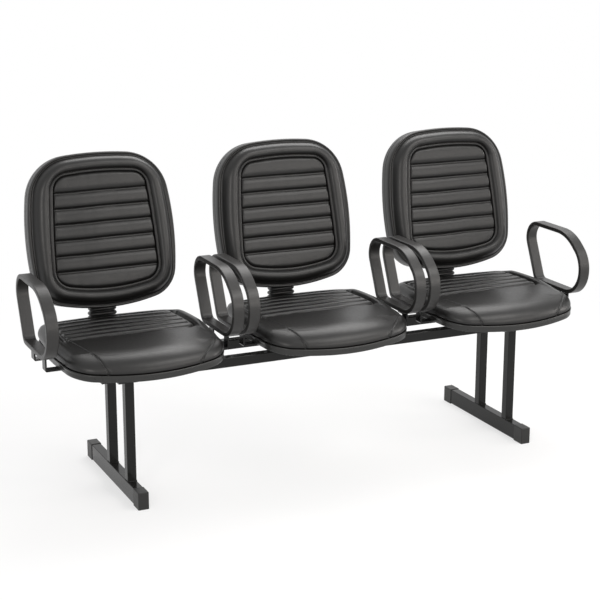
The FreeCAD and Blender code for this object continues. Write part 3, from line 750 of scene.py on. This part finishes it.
def build_boot(number):
    """The folded boot: fat ridges over sharp valleys, wider towards its foot."""
    low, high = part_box("place_%d_back_bellows" % number)
    centre = ((low[0] + high[0]) / 2, (low[1] + high[1]) / 2)
    folds, steps, round_steps = 7, 14, 72
    total = folds * steps
    points = []
    for k in range(total + 1):
        t = k / steps
        z = low[2] + (high[2] - low[2]) * k / total
        ridge = abs(math.sin(math.pi * t)) ** 0.55
        narrow = 0.0012 * t
        half_x = 0.0385 - narrow + 0.0085 * ridge
        half_y = 0.0130 - narrow * 0.4 + 0.0060 * ridge
        for i in range(round_steps):
            turn = 2 * math.pi * i / round_steps
            c, s = math.cos(turn), math.sin(turn)
            reach = (abs(c) ** 4.5 + abs(s) ** 4.5) ** (-1 / 4.5)
            points.append((centre[0] + half_x * reach * c, centre[1] + half_y * reach * s, z))
    faces = quads(total + 1, round_steps, close_columns=True)
    faces.append(tuple(range(round_steps)))
    faces.append(tuple(total * round_steps + i for i in range(round_steps)))
    return skin("place_%d_bellows_boot" % number, points, faces, boot_rubber)


for number in places:
    x, y, z = flex_point(number)
    start, end = (x, y, z - 0.004), (x, y, z + 0.085)
    blade = sliced_copy("place_%d_back_blade" % number, "place_%d_spring_blade" % number,
                        spring_steel)
    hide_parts("place_%d_back_blade" % number)
    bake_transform(blade)
    boot = build_boot(number)
    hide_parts("place_%d_back_bellows" % number)
    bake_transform(boot)


# Rear shells: vacuum-formed black plastic over the back board, held with the blade by
# four screws, with a leather-like texture in the mould.
shell_plastic = surface("shell_plastic", (0.010, 0.010, 0.010), (0.3, 0.42), 0.5, 1.5,
                        (0.0014, 0.00008), (0.03, 0.0003), edge_wear=0.3)
coat(["place_%d_back_shell" % n for n in places], shell_plastic)
coat(["place_%d_back_screws" % n for n in places], bright_zinc)


# Back cushions: the same leatherette. Seven sewn channels lie in a panel that is framed
# by a stitched flange and a fat roll, and a flat gusset runs round the side to the shell.
back_seams = [0.0, 0.048, 0.096, 0.144, 0.192, 0.240]
back_lean = math.radians(12)
back_foot_y, back_foot_z = 0.078, 0.180
back_outer = outline(0.2325, 0.100, -0.1175, 0.3615, 0.8995, 0.6195, 0.9995, 0.0995, 0.1415,
                     count=44)[0]
back_inner, back_inner_normals = outline(0.1641, -0.084, -0.054, 0.300, 3.45, 0.600, 1.0,
                                         0.050, 0.045, count=44)
roll_profile = [
    (-0.05, -0.016), (-0.02, -0.012), (0.0, -0.0080), (0.012, -0.0034), (0.022, -0.0010),
    (0.04, 0.0002), (0.085, 0.0005), (0.118, 0.0002), (0.130, -0.0018), (0.143, -0.0002),
    (0.165, 0.0026), (0.20, 0.0056), (0.245, 0.0082), (0.30, 0.0100), (0.36, 0.0108),
    (0.43, 0.0106), (0.50, 0.0094), (0.56, 0.0074), (0.62, 0.0044), (0.67, 0.0008),
    (0.71, -0.0034), (0.75, -0.0084), (0.785, -0.0130), (0.815, -0.0164), (0.838, -0.0180),
    (0.860, -0.0178), (0.885, -0.0166), (0.915, -0.0156), (0.945, -0.0156), (0.970, -0.0170),
    (0.990, -0.0202), (1.002, -0.0255), (1.006, -0.0325), (1.004, -0.0400), (0.998, -0.0470),
    (0.984, -0.0520), (0.955, -0.0540), (0.5, -0.0540), (-0.05, -0.0540),
]


def on_back(u, v, w, number):
    """Points of the back's own plane, at their reclined place."""
    x, y, z = flex_point(number)
    base_y, base_z = y - back_foot_y, z + back_foot_z
    return np.stack([x + u, base_y + v * math.sin(back_lean) - w * math.cos(back_lean),
                     base_z + v * math.cos(back_lean) + w * math.sin(back_lean)], -1)


def build_back_cushion(number):
    rows_v = seam_rows(back_seams, -0.062, 0.308, 0.0052, 0.0045)
    columns_u = np.linspace(-0.172, 0.172, 116)
    u, v = np.meshgrid(columns_u, rows_v)
    flat = np.stack([u.ravel(), v.ravel()], 1)
    depth, facing = nearest(flat, back_inner, back_inner_normals)
    u, v = flat[:, 0], flat[:, 1]
    sag = 0.0011 * ripple(u, v, 200 + number, 0.12)
    lines = v + 0.0012 * ripple(u, v * 0.3, 230 + number, 0.2)
    sewn = channels(lines, back_seams, (-0.056, 0.302), 0.0040, 0.0056, 0.0050)
    pucker = 0.0007 * ripple(u, v * 0.12, 260 + number, 0.024)
    pucker *= 0.35 + 0.65 * smooth(1 - depth / 0.03)
    ends_here = smooth((depth + 0.002) / 0.006)
    height = (sewn + pucker) * ends_here + sag - 0.0035 * (u / 0.164) ** 2
    height -= 0.0085 * (1 - smooth((depth + 0.0035) / 0.009))
    top = on_back(u, v, height, number)
    keep = depth > -0.0075
    count_u = len(columns_u)
    faces = [f for f in quads(len(rows_v), count_u) if all(keep[list(f)])]
    work = bmesh.new()
    verts = [work.verts.new(p) for p in top]
    for f in faces:
        work.faces.new([verts[k] for k in f])
    for vert in [v for v in work.verts if not v.link_faces]:
        work.verts.remove(vert)
    rim = [e for e in work.edges if e.is_boundary]
    back = on_back(np.zeros(1), np.zeros(1), np.array([-0.040]), number)[0]
    fore = on_back(np.zeros(1), np.zeros(1), np.array([0.0]), number)[0]
    made = bmesh.ops.extrude_edge_only(work, edges=rim)
    shift = Vector(back - fore)
    low = [g for g in made["geom"] if isinstance(g, bmesh.types.BMVert)]
    for vert in low:
        vert.co += shift
    bmesh.ops.holes_fill(work, edges=[e for e in work.edges if e.is_boundary])
    panel_mesh = bpy.data.meshes.new("panel")
    work.to_mesh(panel_mesh)
    work.free()
    panel_points = np.array([v.co for v in panel_mesh.vertices])
    panel_faces = [tuple(p.vertices) for p in panel_mesh.polygons]
    bpy.data.meshes.remove(panel_mesh)

    across = back_outer - back_inner
    count = len(back_inner)
    around = np.concatenate([[0], np.cumsum(np.linalg.norm(np.diff(back_outer, axis=0), axis=1))])
    loops = []
    for share, w in roll_profile:
        spot = back_inner + across * share
        uneven = 0.0009 * ripple(spot[:, 0], spot[:, 1], 300 + number, 0.10)
        gather = math.exp(-((share - 0.16) / 0.09) ** 2) * 0.0006
        wrinkle = gather * ripple(around, np.full(count, share * 0.05), 330 + number, 0.013)
        fade = 1.0 if 0.1 < share < 0.95 and w > -0.015 else 0.15
        height = np.full(count, w) + (uneven + wrinkle) * fade
        loops.append(on_back(spot[:, 0], spot[:, 1], height, number))
    ring_points = np.vstack(loops)
    ring_faces = quads(len(loops), count, start=len(panel_points), close_rows=True,
                       close_columns=True)
    name = "place_%d_back_cushion_cover" % number
    cover = skin(name, np.vstack([panel_points, ring_points]), panel_faces + ring_faces,
                 leatherette)
    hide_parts("place_%d_back_cushion" % number)
    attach(cover, "back_%d" % number)
    tree = tree_of(cover)
    points, faces = [], []
    for seam in back_seams:
        across = np.linspace(-0.158, 0.158, 60)
        run = on_back(across, np.full(60, seam + 0.0013), np.full(60, 0.0), number)
        sew(points, faces, tree, run, 0, 0.0046, 0.0031, 0.00045)
    flange = back_inner + (back_outer - back_inner) * 0.075
    flange = np.vstack([flange, flange[:1]])
    run = on_back(flange[:, 0], flange[:, 1], np.full(len(flange), 0.0), number)
    sew(points, faces, tree, run, 0, 0.0046, 0.0031, 0.00045)
    stitches = skin("place_%d_back_stitches" % number, points, faces, thread, False)
    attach(stitches, "back_%d" % number)


for number in places:
    build_back_cushion(number)


# Arms: moulded bands of black polyurethane in a closed loop, two to each place, with a
# fine leather texture and edges polished by use.
arm_plastic = surface("arm_polyurethane", (0.010, 0.0095, 0.009), (0.34, 0.44), 0.5, 1.35,
                      (0.0010, 0.00006), (0.02, 0.00025), edge_wear=0.15)
coat(["place_%d_%s_arm" % (n, side) for n in places for side in sides], arm_plastic)
